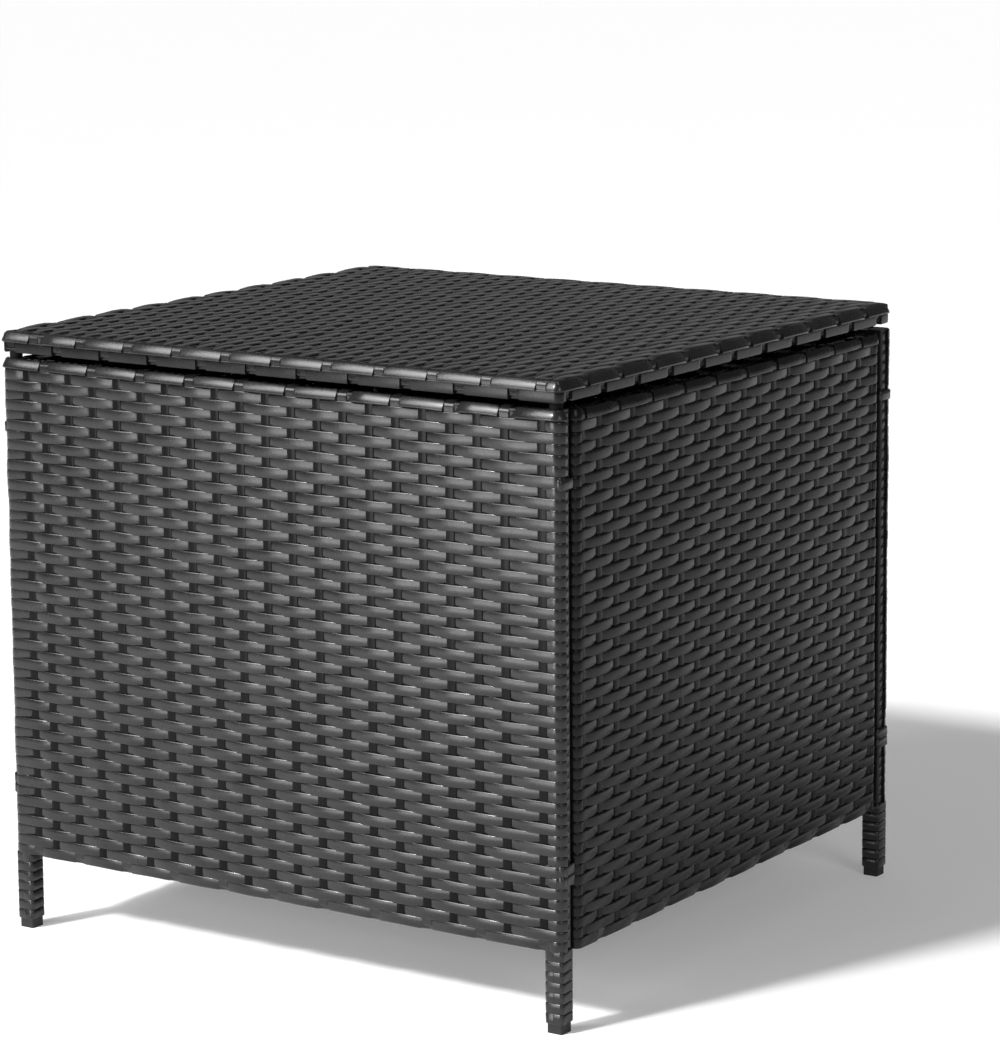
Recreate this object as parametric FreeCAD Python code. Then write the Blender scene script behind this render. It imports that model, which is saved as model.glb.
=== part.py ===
import FreeCAD, Part
import math
import os

Vector = FreeCAD.Vector

# Storage side table: woven panels on welded steel frames, with a hinged woven lid.
# Millimetres, +Z up, origin on the ground under the middle of the table.
# The front panel faces -Y and the lid is hinged along the rear, +Y, edge.

# Overall sizes
width = 510.0             # over the wound legs, left to right
depth = 500.0             # front weave to the back of the hinges
height = 475.0            # ground to the woven lid top
leg_clear = 60.8          # ground to the lower edge of the front and rear panels
lid_overhang = 0.0        # lid past the wound legs, left and right
lid_setback = 6.0         # back of the hinges to the rear edge of the lid
lid_gap = 6.3             # body top to lid underside, filled by the closed hinges
side_drop = 2.0           # side panels sit this much lower than front and rear
panel_gap = 5.8           # wound leg to wound side panel
floor_gap = 0.5           # floor panel to the panels around it

# Frame stock and strand
tube = 13.0               # square steel tube
tube_wall = 1.0
tube_corner = 1.5
bar = 10.0                # lighter square tube behind the weave
strand = 1.1              # strand thickness
groove = 0.45             # depth between two neighbouring strand rows
row_pitch = 7.85          # width of one strand row

# Feet and tube plugs
foot_base = 4.0           # height of the plastic foot below the tube
foot_bare = 3.0           # tube left bare above the foot
plug_stem = 14.0
plug_lip = 1.1
plug_clear = 0.1          # plug to tube wall, all round

# Bolts, spacers and screws
bolt_d = 6.0
bolt_head_d = 10.5
bolt_head_h = 3.3
bolt_rim = 1.3            # straight edge of the domed head
bolt_flat_d = 4.2         # flat on top of the dome
bolt_bulge = 0.4          # dome above the straight line from rim to flat
bolt_key = 4.0            # hexagon key across flats
bolt_key_depth = 2.0
bolt_spare = 5.0          # thread that passes the last wall
hole_clear = 0.1          # radial, shank to hole
head_clear = 0.4          # radial, bolt head or spacer to strand
spacer_d = 9.0
upper_bolt_drop = 53.0    # below the body top
lower_bolt_rise = 56.0    # above the panel's lower edge
floor_bolt_inset = 105.0   # in from the sides

# Hinges
hinge_inset = 105.0       # side of the table to the middle of a hinge
hinge_length = 44.0
leaf_width = 13.5         # pin axis to the front edge of a leaf
leaf = 1.4                # leaf thickness
pin_clear = 0.05          # radial running clearance
pin_head_d = 5.2
pin_head_h = 1.0
axis_inset = 0.7          # pin axis in front of the rear face
stop_tail = 4.0           # tail of the lid leaf, which meets the rear panel when open
knuckle_gap = 0.4         # between knuckles, and from a knuckle to the other leaf
screw_d = 3.5
screw_head_d = 6.8
screw_length = 10.0
screw_spread = 28.0
countersink_clear = 0.08

# Lid bumpers
bumper_d = 10.0
seat_clear = 0.3          # bumper to the body when the lid is closed

# Places worked out from the sizes above
wound = tube + 2.0 * strand
half_width = width / 2.0
front_face = -depth / 2.0
rear_face = depth / 2.0 - stop_tail + axis_inset
lid_bottom = height - wound
body_top = lid_bottom - lid_gap
leg_top = body_top - plug_lip
wrap_corner = tube_corner + strand
side_top = body_top - side_drop
side_bottom = leg_clear - side_drop
upper_bolt = body_top - upper_bolt_drop
lower_bolt = leg_clear + lower_bolt_rise
bolt_hole_r = bolt_d / 2.0 + hole_clear
screw_hole_r = screw_d / 2.0 + hole_clear
axis_y = rear_face - axis_inset
axis_z = body_top + lid_gap / 2.0
knuckle_r = lid_gap / 2.0
bore_r = knuckle_r - leaf
pin_r = bore_r - pin_clear
lid_half = half_width + lid_overhang
lid_front = front_face
lid_rear = depth / 2.0 - lid_setback

AXES = {"x": Vector(1, 0, 0), "y": Vector(0, 1, 0), "z": Vector(0, 0, 1)}
SIDES = (("left", -1), ("right", 1))


def place(axis, along, a, b):
    """Point at `along` on an axis and (a, b) on the other two, in X, Y, Z order."""
    if axis == "x":
        return Vector(along, a, b)
    if axis == "y":
        return Vector(a, along, b)
    return Vector(a, b, along)


def extrude_outline(edges, axis, length):
    return Part.Face(Part.Wire(edges)).extrude(AXES[axis] * length)


def rounded_bar(axis, along, across_a, across_b, radius):
    """Bar of rounded rectangular section; each span is (low, high)."""
    (a0, a1), (b0, b1) = across_a, across_b
    corners = ((a1, b0, 0.0), (a1, b1, 90.0), (a0, b1, 180.0), (a0, b0, 270.0))
    start = along[0]
    edges = []
    last = None
    first = None
    for a, b, turn in corners:
        ca = a - radius if a == a1 else a + radius
        cb = b - radius if b == b1 else b + radius
        arc_points = []
        for step in (-90.0, -45.0, 0.0):
            angle = math.radians(turn + step)
            arc_points.append(place(axis, start, ca + radius * math.cos(angle), cb + radius * math.sin(angle)))
        if last is None:
            first = arc_points[0]
        else:
            edges.append(Part.LineSegment(last, arc_points[0]).toShape())
        edges.append(Part.Arc(*arc_points).toShape())
        last = arc_points[2]
    edges.append(Part.LineSegment(last, first).toShape())
    return extrude_outline(edges, axis, along[1] - along[0])


def plain_box(x, y, z):
    size = (x[1] - x[0], y[1] - y[0], z[1] - z[0])
    return Part.makeBox(*size, Vector(x[0], y[0], z[0]))


def grown(span, amount):
    return (span[0] - amount, span[1] + amount)


def cylinder(axis, along, a, b, radius):
    return Part.makeCylinder(radius, along[1] - along[0], place(axis, along[0], a, b), AXES[axis])


class Member:
    """One straight square tube of a frame."""

    def __init__(self, name, axis, along, across_a, across_b):
        self.name = name
        self.axis = axis
        self.along = along
        self.across_a = across_a
        self.across_b = across_b
        self.holes = []

    def solid(self):
        return rounded_bar(self.axis, self.along, self.across_a, self.across_b, tube_corner)

    def shape(self):
        bore_a = grown(self.across_a, -tube_wall)
        bore_b = grown(self.across_b, -tube_wall)
        spans = {"x": (self.along, bore_a, bore_b), "y": (bore_a, self.along, bore_b),
                 "z": (bore_a, bore_b, self.along)}
        body = self.solid().cut(plain_box(*spans[self.axis]))
        return body.cut(self.holes) if self.holes else body

    def wrap(self, along, cutters):
        """Strand wound round this tube, opened where other pieces pass through it."""
        sleeve = rounded_bar(self.axis, along, grown(self.across_a, strand), grown(self.across_b, strand),
                             wrap_corner)
        return sleeve.cut([self.solid()] + cutters)


def save(name, shapes):
    """Write one node: a solid, or several alike as one group."""
    if not isinstance(shapes, list):
        shapes = [shapes]
    solids = [solid for shape in shapes for solid in shape.Solids]
    node = solids[0] if len(solids) == 1 else Part.makeCompound(solids)
    node.exportStep("parts/" + name + ".step")


class Field:
    """Woven sheet over one face of a frame, seen as crowned strand rows side by side."""

    def __init__(self, name, corner, along, pitch_way, outward, length, run):
        self.name = name
        self.corner = corner
        self.along = along * length
        self.pitch_way = pitch_way
        self.outward = outward
        self.run = run

    def at(self, p, n):
        return self.corner + self.pitch_way * p + self.outward * n

    def slab(self):
        """Plain block of the sheet's full thickness."""
        near = self.corner
        far = self.at(self.run, strand) + self.along
        spans = [tuple(sorted(pair)) for pair in zip(near, far)]
        return plain_box(*spans)

    def shape(self):
        rows = max(1, round(self.run / row_pitch))
        step = self.run / rows
        shoulder = strand - groove
        edges = [Part.LineSegment(self.at(0, shoulder), self.at(0, 0)).toShape(),
                 Part.LineSegment(self.at(0, 0), self.at(self.run, 0)).toShape(),
                 Part.LineSegment(self.at(self.run, 0), self.at(self.run, shoulder)).toShape()]
        for row in reversed(range(rows)):
            high = self.at((row + 1) * step, shoulder)
            low = self.at(row * step, shoulder)
            edges.append(Part.Arc(high, self.at((row + 0.5) * step, strand), low).toShape())
        return Part.Face(Part.Wire(edges)).extrude(self.along)


def bolt(seat, pull, grip):
    """Domed socket bolt: head on `seat`, shank running `grip` along `pull`."""
    radius = bolt_head_d / 2.0
    shank_r = bolt_d / 2.0
    rim = Vector(radius, 0, -bolt_rim)
    flat = Vector(bolt_flat_d / 2.0, 0, -bolt_head_h)
    chord = flat - rim
    crown = (rim + flat) / 2.0 + Vector(-chord.z, 0, chord.x) * (bolt_bulge / chord.Length)
    corners = [flat, Vector(0, 0, -bolt_head_h), Vector(0, 0, grip), Vector(shank_r, 0, grip),
               Vector(shank_r, 0, 0), Vector(radius, 0, 0), rim]
    edges = [Part.LineSegment(p, q).toShape() for p, q in zip(corners, corners[1:])]
    edges.append(Part.Arc(rim, crown, flat).toShape())
    turned = Part.Face(Part.Wire(edges)).revolve(Vector(0, 0, 0), Vector(0, 0, 1), 360)
    key_r = bolt_key / math.sqrt(3.0)
    flats = [Vector(key_r * math.cos(math.radians(60 * i)), key_r * math.sin(math.radians(60 * i)),
                    -bolt_head_h) for i in range(7)]
    socket = Part.Face(Part.makePolygon(flats)).extrude(Vector(0, 0, bolt_key_depth))
    shape = turned.cut(socket)
    shape.Placement = FreeCAD.Placement(seat, FreeCAD.Rotation(Vector(0, 0, 1), pull))
    return shape


def countersunk_screw(seat, pull):
    """Flat-headed screw with its head level with `seat`."""
    cone = (screw_head_d - screw_d) / 2.0
    head = Part.makeCone(screw_head_d / 2.0, screw_d / 2.0, cone, Vector(0, 0, 0))
    shank = Part.makeCylinder(screw_d / 2.0, screw_length - cone, Vector(0, 0, cone))
    shape = head.fuse(shank).removeSplitter()
    shape.Placement = FreeCAD.Placement(seat, FreeCAD.Rotation(Vector(0, 0, 1), pull))
    return shape


def countersink(seat, pull):
    """Hole for a countersunk screw: cone and shank, each with its clearance."""
    cone = (screw_head_d - screw_d) / 2.0
    cut = Part.makeCone(screw_head_d / 2.0 + countersink_clear, screw_hole_r, cone, Vector(0, 0, 0))
    cut = cut.fuse(Part.makeCylinder(screw_hole_r, screw_length, Vector(0, 0, 0)))
    cut.Placement = FreeCAD.Placement(seat, FreeCAD.Rotation(Vector(0, 0, 1), pull))
    return cut


# Spans shared by the frames
front_span = (front_face + strand, front_face + strand + tube)
rear_span = (rear_face - strand - tube, rear_face - strand)
top_span = (body_top - strand - tube, body_top - strand)
bottom_span = (leg_clear + strand, leg_clear + strand + tube)
side_top_span = (side_top - strand - tube, side_top - strand)
side_bottom_span = (side_bottom + strand, side_bottom + strand + tube)
lid_span = (lid_bottom + strand, height - strand)
panel_front = front_face + wound + panel_gap
panel_rear = rear_face - wound - panel_gap
front_stile_span = (panel_front + strand, panel_front + strand + tube)
rear_stile_span = (panel_rear - strand - tube, panel_rear - strand)
floor_x = half_width - wound - floor_gap
floor_y = (front_face + wound + floor_gap, rear_face - wound - floor_gap)


def outer_span(sign, outer):
    """Tube span whose wound outer face lies at `outer` on the left or right side."""
    edges = (sign * (outer - strand - tube), sign * (outer - strand))
    return (min(edges), max(edges))


def leg(name, sign, y_span):
    return Member(name, "z", (foot_base, leg_top), outer_span(sign, half_width), y_span)


legs = {}
for side, sign in SIDES:
    legs["front", side] = leg("front_" + side + "_leg", sign, front_span)
    legs["rear", side] = leg("rear_" + side + "_leg", sign, rear_span)

# Front and rear frames: two rails welded between the legs and an upright behind the weave
rail_run = (-half_width + strand + tube, half_width - strand - tube)
upright_x = (-bar / 2.0, bar / 2.0)
upright_z = (bottom_span[1], top_span[0])
front_rails = [Member("front_top_rail", "x", rail_run, front_span, top_span),
               Member("front_bottom_rail", "x", rail_run, front_span, bottom_span)]
rear_rails = [Member("rear_top_rail", "x", rail_run, rear_span, top_span),
              Member("rear_bottom_rail", "x", rail_run, rear_span, bottom_span)]
front_upright = Member("front_upright", "z", upright_z, upright_x, (front_span[0], front_span[0] + bar))
rear_upright = Member("rear_upright", "z", upright_z, upright_x, (rear_span[1] - bar, rear_span[1]))

# Side frames: two stiles, two rails and an upright each
side_run = (front_stile_span[1], rear_stile_span[0])
side_middle = (side_run[0] + side_run[1]) / 2.0
side_upright_z = (side_bottom_span[1], side_top_span[0])
stile_z = (side_bottom_span[0], side_top_span[1])
stiles = {}
side_rails = {}
side_uprights = {}
for side, sign in SIDES:
    span = outer_span(sign, half_width)
    skin = sign * (half_width - strand)
    behind = (min(skin, skin - sign * bar), max(skin, skin - sign * bar))
    stiles["front", side] = Member(side + "_front_stile", "z", stile_z, span, front_stile_span)
    stiles["rear", side] = Member(side + "_rear_stile", "z", stile_z, span, rear_stile_span)
    side_rails[side] = [Member(side + "_top_rail", "y", side_run, span, side_top_span),
                        Member(side + "_bottom_rail", "y", side_run, span, side_bottom_span)]
    side_uprights[side] = Member(side + "_upright", "z", side_upright_z, behind,
                                 (side_middle - bar / 2.0, side_middle + bar / 2.0))

# Floor frame, level with the lower rails
floor_span = bottom_span
floor_front_span = (floor_y[0] + strand, floor_y[0] + strand + tube)
floor_rear_span = (floor_y[1] - strand - tube, floor_y[1] - strand)
floor_run = (floor_front_span[1], floor_rear_span[0])
floor_skin = floor_span[1]
floor_sides = {side: Member("floor_" + side + "_rail", "y", (floor_front_span[0], floor_rear_span[1]),
                            outer_span(sign, floor_x), floor_span) for side, sign in SIDES}
floor_inner = (floor_sides["left"].across_a[1], floor_sides["right"].across_a[0])
floor_ends = [Member("floor_front_rail", "x", floor_inner, floor_front_span, floor_span),
              Member("floor_rear_rail", "x", floor_inner, floor_rear_span, floor_span)]
floor_middle = (floor_run[0] + floor_run[1]) / 2.0
floor_cross = Member("floor_cross_bar", "x", floor_inner, (floor_middle - bar / 2.0, floor_middle + bar / 2.0),
                     (floor_skin - bar, floor_skin))

# Lid frame
lid_front_span = (lid_front + strand, lid_front + strand + tube)
lid_rear_span = (lid_rear - strand - tube, lid_rear - strand)
lid_run = (lid_front_span[1], lid_rear_span[0])
lid_sides = {side: Member("lid_" + side + "_rail", "y", (lid_front_span[0], lid_rear_span[1]),
                          outer_span(sign, lid_half), lid_span) for side, sign in SIDES}
lid_inner = (lid_sides["left"].across_a[1], lid_sides["right"].across_a[0])
lid_ends = [Member("lid_front_rail", "x", lid_inner, lid_front_span, lid_span),
            Member("lid_rear_rail", "x", lid_inner, lid_rear_span, lid_span)]
lid_bars = []
for third in (1, 2):
    middle = lid_run[0] + (lid_run[1] - lid_run[0]) * third / 3.0
    lid_bars.append(Member("lid_cross_bar", "x", lid_inner, (middle - bar / 2.0, middle + bar / 2.0),
                           (lid_span[1] - bar, lid_span[1])))

# Bolted joints between the legs and the side panels, with a spacer in each gap
bolts = []
spacers = []
stile_wrap_cuts = {key: [] for key in stiles}
leg_wrap_cuts = {key: [] for key in legs}
for key, stile in stiles.items():
    corner_leg = legs[key]
    x = sum(stile.across_a) / 2.0
    to_leg = -1 if key[0] == "front" else 1
    leg_face = corner_leg.across_b[1] if to_leg < 0 else corner_leg.across_b[0]
    outer = stile.across_b[0] if to_leg < 0 else stile.across_b[1]
    inner = stile.across_b[1] if to_leg < 0 else stile.across_b[0]
    gap = (min(leg_face, outer), max(leg_face, outer))
    reach = abs(inner - leg_face) + tube_wall + bolt_spare
    drill = grown((min(inner, leg_face), max(inner, leg_face)), tube_wall + hole_clear)
    for z in (upper_bolt, lower_bolt):
        hole = cylinder("y", drill, x, z, bolt_hole_r)
        stile.holes.append(hole)
        corner_leg.holes.append(hole)
        ring = cylinder("y", gap, x, z, spacer_d / 2.0)
        spacers.append(ring.cut(hole))
        bolts.append(bolt(Vector(x, inner, z), Vector(0, to_leg, 0), reach))
        spacer_way = cylinder("y", gap, x, z, spacer_d / 2.0 + head_clear)
        head_way = cylinder("y", grown((inner, inner), strand), x, z, bolt_head_d / 2.0 + head_clear)
        stile_wrap_cuts[key] += [spacer_way, head_way]
        leg_wrap_cuts[key].append(spacer_way)

# Bolts from the floor frame into the lower rails
floor_bolts = []
floor_wrap_cuts = []
for rail, lower, pull in ((floor_ends[0], front_rails[1], -1), (floor_ends[1], rear_rails[1], 1)):
    inner = rail.across_a[1] if pull < 0 else rail.across_a[0]
    far_wall = lower.across_a[1] if pull < 0 else lower.across_a[0]
    z = sum(floor_span) / 2.0
    drill = grown((min(inner, far_wall), max(inner, far_wall)), tube_wall + hole_clear)
    reach = abs(inner - far_wall) + tube_wall + bolt_spare
    for x in (floor_bolt_inset - half_width, half_width - floor_bolt_inset):
        hole = cylinder("y", drill, x, z, bolt_hole_r)
        rail.holes.append(hole)
        lower.holes.append(hole)
        floor_bolts.append(bolt(Vector(x, inner, z), Vector(0, pull, 0), reach))
        floor_wrap_cuts += [hole, cylinder("y", grown((inner, inner), strand), x, z,
                                           bolt_head_d / 2.0 + head_clear)]


def hinge_leaf(ends, z_span, segments, back):
    """Plate from its front edge to the knuckle segments; each segment's plate runs on to `back`."""
    front = axis_y - leaf_width
    inner = axis_y - knuckle_r - knuckle_gap
    pieces = []
    for piece in segments:
        pieces.append(plain_box(piece, (inner, back), z_span))
        pieces.append(cylinder("x", piece, axis_y, axis_z, knuckle_r))
    bore = cylinder("x", ends, axis_y, axis_z, bore_r)
    return plain_box(ends, (front, inner), z_span).fuse(pieces).cut(bore).removeSplitter()


# Hinges: a leaf on the rear rail, a leaf under the lid and a pin through the knuckles
segment = hinge_length / 3.0
hinge_screws = {"body": [], "lid": []}
hinge_cuts = {"body": [], "lid": []}
hinge_pieces = {}
for side, sign in SIDES:
    middle = sign * (half_width - hinge_inset)
    ends = (middle - hinge_length / 2.0, middle + hinge_length / 2.0)
    inner_segment = (ends[0] + segment, ends[1] - segment)
    fixed_segments = ((ends[0], inner_segment[0] - knuckle_gap / 2.0),
                      (inner_segment[1] + knuckle_gap / 2.0, ends[1]))
    lid_segments = (grown(inner_segment, -knuckle_gap / 2.0),)
    fixed = hinge_leaf(ends, (body_top, body_top + leaf), fixed_segments, axis_y)
    moving = hinge_leaf(ends, (lid_bottom - leaf, lid_bottom), lid_segments, axis_y + stop_tail)
    for x in (middle - screw_spread / 2.0, middle + screw_spread / 2.0):
        low_seat = Vector(x, sum(rear_span) / 2.0, body_top + leaf)
        high_seat = Vector(x, sum(lid_rear_span) / 2.0, lid_bottom - leaf)
        for where, seat, pull in (("body", low_seat, Vector(0, 0, -1)), ("lid", high_seat, Vector(0, 0, 1))):
            hinge_screws[where].append(countersunk_screw(seat, pull))
            hinge_cuts[where].append(countersink(seat, pull))
    fixed = fixed.cut(hinge_cuts["body"])
    moving = moving.cut(hinge_cuts["lid"])
    pin = cylinder("x", ends, axis_y, axis_z, pin_r)
    for head in ((ends[0] - pin_head_h, ends[0]), (ends[1], ends[1] + pin_head_h)):
        pin = pin.fuse(cylinder("x", head, axis_y, axis_z, pin_head_d / 2.0))
    hinge_pieces[side + "_hinge_body_leaf"] = fixed
    hinge_pieces[side + "_hinge_lid_leaf"] = moving
    hinge_pieces[side + "_hinge_pin"] = pin.removeSplitter()
rear_rails[0].holes += hinge_cuts["body"]
lid_ends[1].holes += hinge_cuts["lid"]

os.makedirs("parts", exist_ok=True)

# Frame tubes
members = list(legs.values()) + front_rails + rear_rails + [front_upright, rear_upright]
members += list(stiles.values()) + side_rails["left"] + side_rails["right"] + list(side_uprights.values())
members += list(floor_sides.values()) + floor_ends + [floor_cross]
members += list(lid_sides.values()) + lid_ends
for member in members:
    save(member.name, member.shape())
save("lid_cross_bars", [lid_bar.shape() for lid_bar in lid_bars])

# Woven fields: each covers one face of its frame, up to the rounded edges
up = AXES["z"]
right = AXES["x"]
back = AXES["y"]


def upright_field(name, corner, along, outward, length, z_span):
    return Field(name, corner, along, up, outward, length, z_span[1] - z_span[0])


def level_field(name, x, y, z):
    return Field(name, Vector(x[0], y[0], z), back, right, up, y[1] - y[0], x[1] - x[0])


field_x = grown((-half_width, half_width), -wrap_corner)
field_z = grown((leg_clear, body_top), -wrap_corner)
side_y = grown((panel_front, panel_rear), -wrap_corner)
side_z = grown((side_bottom, side_top), -wrap_corner)
front_field = upright_field("front_weave", Vector(field_x[0], front_span[0], field_z[0]), right, -back,
                            field_x[1] - field_x[0], field_z)
rear_field = upright_field("rear_weave", Vector(field_x[0], rear_span[1], field_z[0]), right, back,
                           field_x[1] - field_x[0], field_z)
side_fields = {}
for side, sign in SIDES:
    corner = Vector(sign * (half_width - strand), side_y[0], side_z[0])
    side_fields[side] = upright_field(side + "_weave", corner, back, right * sign, side_y[1] - side_y[0], side_z)
floor_field = level_field("floor_weave", grown((-floor_x, floor_x), -wrap_corner), grown(floor_y, -wrap_corner),
                          floor_skin)
lid_field = level_field("lid_weave", grown((-lid_half, lid_half), -wrap_corner),
                        grown((lid_front, lid_rear), -wrap_corner), lid_span[1])
for field in [front_field, rear_field, floor_field, lid_field] + list(side_fields.values()):
    save(field.name, field.shape())

# Strand wound on the frame tubes, open on the face that the woven field covers
rail_solids = [rail.solid() for rail in front_rails + rear_rails]
leg_fields = [front_field.slab(), rear_field.slab()]
leg_wrap_z = (foot_base + foot_bare, leg_top)
save("leg_wraps", [legs[key].wrap(leg_wrap_z, rail_solids + leg_fields + leg_wrap_cuts[key]) for key in legs])
between_legs = grown(rail_run, -strand)
for name, rails, upright, field in (("front", front_rails, front_upright, front_field),
                                    ("rear", rear_rails, rear_upright, rear_field)):
    cuts = [upright.solid(), field.slab()] + floor_wrap_cuts + hinge_cuts["body"]
    save(name + "_rail_wraps", [rail.wrap(between_legs, cuts) for rail in rails])
between_stiles = grown(side_run, -strand)
for side, sign in SIDES:
    rails = side_rails[side]
    slab = side_fields[side].slab()
    rail_solids = [rail.solid() for rail in rails]
    wraps = [stiles[end, side].wrap(grown(stile_z, strand), rail_solids + [slab] + stile_wrap_cuts[end, side])
             for end in ("front", "rear")]
    wraps += [rail.wrap(between_stiles, [side_uprights[side].solid(), slab]) for rail in rails]
    save(side + "_frame_wraps", wraps)


def tray_wraps(sides, ends, bars, field, cuts):
    """Strand wound round a flat frame: the side tubes full length, the end tubes between them."""
    passing = [member.solid() for member in ends + bars]
    slab = field.slab()
    between = grown(ends[0].along, -strand)
    wraps = [side.wrap(grown(side.along, strand), passing + [slab] + cuts) for side in sides.values()]
    return wraps + [end.wrap(between, [slab] + cuts) for end in ends]


save("floor_edge_wraps", tray_wraps(floor_sides, floor_ends, [floor_cross], floor_field, floor_wrap_cuts))
save("lid_edge_wraps", tray_wraps(lid_sides, lid_ends, lid_bars, lid_field, hinge_cuts["lid"]))

# Feet and plugs in the tube ends
feet = []
plugs = []
for corner_leg in legs.values():
    inside_a = grown(corner_leg.across_a, -tube_wall - plug_clear)
    inside_b = grown(corner_leg.across_b, -tube_wall - plug_clear)
    base = rounded_bar("z", (0.0, foot_base), corner_leg.across_a, corner_leg.across_b, tube_corner)
    feet.append(base.fuse(plain_box(inside_a, inside_b, (foot_base, foot_base + plug_stem))))
    lip = rounded_bar("z", (leg_top, body_top), corner_leg.across_a, corner_leg.across_b, tube_corner)
    plugs.append(lip.fuse(plain_box(inside_a, inside_b, (leg_top - plug_stem, leg_top))))
save("feet", feet)
save("leg_top_plugs", plugs)

# Fasteners, hinges and bumpers
save("panel_spacers", spacers)
save("panel_bolts", bolts)
save("floor_bolts", floor_bolts)
for name, shape in hinge_pieces.items():
    save(name, shape)
save("hinge_body_screws", hinge_screws["body"])
save("hinge_lid_screws", hinge_screws["lid"])
bumpers = []
for side, sign in SIDES:
    x = sum(legs["front", side].across_a) / 2.0
    bumpers.append(cylinder("z", (body_top + seat_clear, lid_bottom), x, sum(lid_front_span) / 2.0, bumper_d / 2.0))
save("lid_bumpers", bumpers)
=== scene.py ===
import math
import random

import bmesh
import bpy
from bpy.props import FloatProperty, FloatVectorProperty, IntProperty, PointerProperty
from mathutils import Matrix, Vector


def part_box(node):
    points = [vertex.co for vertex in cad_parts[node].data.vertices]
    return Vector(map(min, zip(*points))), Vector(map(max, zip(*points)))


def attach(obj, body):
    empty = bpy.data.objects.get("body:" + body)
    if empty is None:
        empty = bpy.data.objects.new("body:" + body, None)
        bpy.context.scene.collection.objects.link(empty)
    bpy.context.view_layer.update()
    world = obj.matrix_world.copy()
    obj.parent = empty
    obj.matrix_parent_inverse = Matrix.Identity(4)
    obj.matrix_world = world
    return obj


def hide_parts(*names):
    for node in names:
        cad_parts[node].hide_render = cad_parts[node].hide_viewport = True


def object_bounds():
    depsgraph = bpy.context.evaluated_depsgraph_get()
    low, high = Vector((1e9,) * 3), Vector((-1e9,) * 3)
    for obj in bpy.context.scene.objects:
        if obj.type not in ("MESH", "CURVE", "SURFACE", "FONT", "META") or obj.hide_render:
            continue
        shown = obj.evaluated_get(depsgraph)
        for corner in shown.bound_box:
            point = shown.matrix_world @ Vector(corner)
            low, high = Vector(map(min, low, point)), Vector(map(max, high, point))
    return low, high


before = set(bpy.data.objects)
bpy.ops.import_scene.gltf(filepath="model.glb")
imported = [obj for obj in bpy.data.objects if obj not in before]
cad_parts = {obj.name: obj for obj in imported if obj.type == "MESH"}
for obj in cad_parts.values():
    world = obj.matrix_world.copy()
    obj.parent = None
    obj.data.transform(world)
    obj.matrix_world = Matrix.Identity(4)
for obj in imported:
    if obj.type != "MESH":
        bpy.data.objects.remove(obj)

bl_info = {
    "name": "Storage Side Table Looks",
    "version": (1, 0, 0),
    "blender": (4, 5, 0),
    "location": "3D View > Sidebar > Side Table",
    "description": "Woven strands, finishes and studio for a storage side table",
    "category": "Object",
}

CAD_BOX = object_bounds()
MM = 0.001
X = Vector((1, 0, 0))
Y = Vector((0, 1, 0))
Z = Vector((0, 0, 1))
BASE = "base"
LID = "lid"
# Thickness of the strand on the solids
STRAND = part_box("front_weave")[1].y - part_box("front_weave")[0].y


# Settings

def setting(kind, factor=None, **options):
    """A maker of settings of one kind; the factor turns the unit of their defaults into Blender's."""
    def make(name, description, default):
        value = default if factor is None else default * factor
        return kind(name=name, description=description, default=value, **options)
    return make


# Lengths are given in millimetres, places and extents in metres, and angles in degrees
length = setting(FloatProperty, MM, subtype="DISTANCE", unit="LENGTH", precision=5)
angle = setting(FloatProperty, math.pi / 180, subtype="ANGLE")
scalar = setting(FloatProperty)
whole = setting(IntProperty)
colour = setting(FloatVectorProperty, subtype="COLOR")
location = setting(FloatVectorProperty, subtype="TRANSLATION", unit="LENGTH")
extent = setting(FloatVectorProperty, subtype="XYZ_LENGTH", unit="LENGTH", size=2)


class WeaveSettings(bpy.types.PropertyGroup):
    """Sizes of the woven strands."""
    weft_width: length("Weft width", "Width of a strand that runs along its row", 8.5)
    weft_thickness: length("Weft thickness", "Thickness of a weft strand at its middle", 1.7)
    warp_width: length("Warp width", "Width of a strand that crosses the rows", 7.8)
    warp_thickness: length("Warp thickness", "Thickness of a warp strand at its middle", 1.1)
    wave: length("Weft wave", "How far a weft rises over a warp", 1.3)
    dip: length("Weft dip", "How far a weft dips under a warp", 1.5)
    flat_wave: length("Lid and floor wave", "The rise in the tighter lid and floor", 0.9)
    flat_dip: length("Lid and floor dip", "The dip in the tighter lid and floor", 1.5)
    flat_width: length("Lid and floor strand width", "Width of the wefts there", 8.5)
    flat_thickness: length("Lid and floor strand thickness", "Thickness of the wefts there", 1.9)
    warp_wave: length("Warp wave", "How far a warp rises and dips about the wefts", 0.15)
    warp_level: length("Warp level", "Middle of the warps, out from the face of the tubes", 0.1)
    row_pitch: length("Row pitch", "Distance between neighbouring weft rows", 7.85)
    warp_pitch: length("Warp pitch", "Distance between neighbouring warps", 23.5)
    bend: length("Bend", "Radius of a strand where it goes round a tube", 3.6)
    corner_bend: length("Corner bend", "The same, where a panel's weft goes round a leg", 5.0)
    edge_tilt: angle("Edge tilt", "Tilt of the row that lies on a rounded upper edge", 28.0)
    unevenness: length("Unevenness", "How far strands wander from a perfect weave", 1.2)
    seed: whole("Seed", "Start of the random numbers", 7)


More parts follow.
